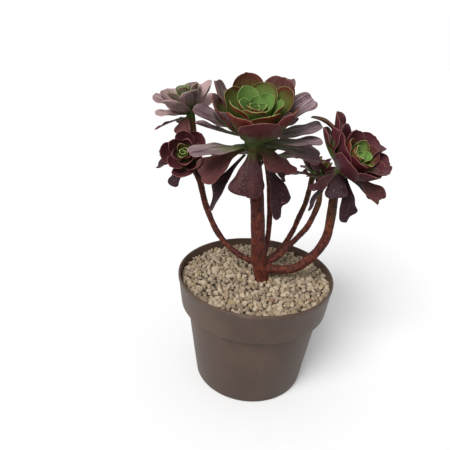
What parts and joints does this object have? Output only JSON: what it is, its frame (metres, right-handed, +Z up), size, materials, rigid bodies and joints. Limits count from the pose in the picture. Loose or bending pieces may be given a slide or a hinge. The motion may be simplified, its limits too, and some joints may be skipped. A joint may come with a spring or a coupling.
{
  "type": "potted aeonium",
  "caption": "Branching woody succulent with heads of spoon-shaped maroon and green leaves, standing in gravel in a round tapered pot.",
  "frame": {"origin": "centre of the underside of the pot, on the surface that it stands on", "axes": "+Z up along the pot's axis; -Y towards the plant's front, +X to its right"},
  "size_m": [0.2623, 0.2198, 0.3773],
  "materials": {
    "pot_plastic": "matt taupe moulded plastic",
    "potting_mix": "dark bark-based potting mix",
    "pumice": "pale dusty pumice grit",
    "bark": "reddish brown succulent bark with leaf scars",
    "leaf": "waxy succulent leaf, green at the heart and maroon outside"
  },
  "bodies": {
    "root": {"pot": "pot_plastic", "potting_mix": "potting_mix", "pumice_gravel": "pumice", "woody_stem": "bark", "head_trunk": "leaf", "head_right": "leaf", "head_left": "leaf", "head_low_left": "leaf", "head_back": "leaf", "head_far_back": "leaf", "head_far_right": "leaf"}
  },
  "joints": []
}
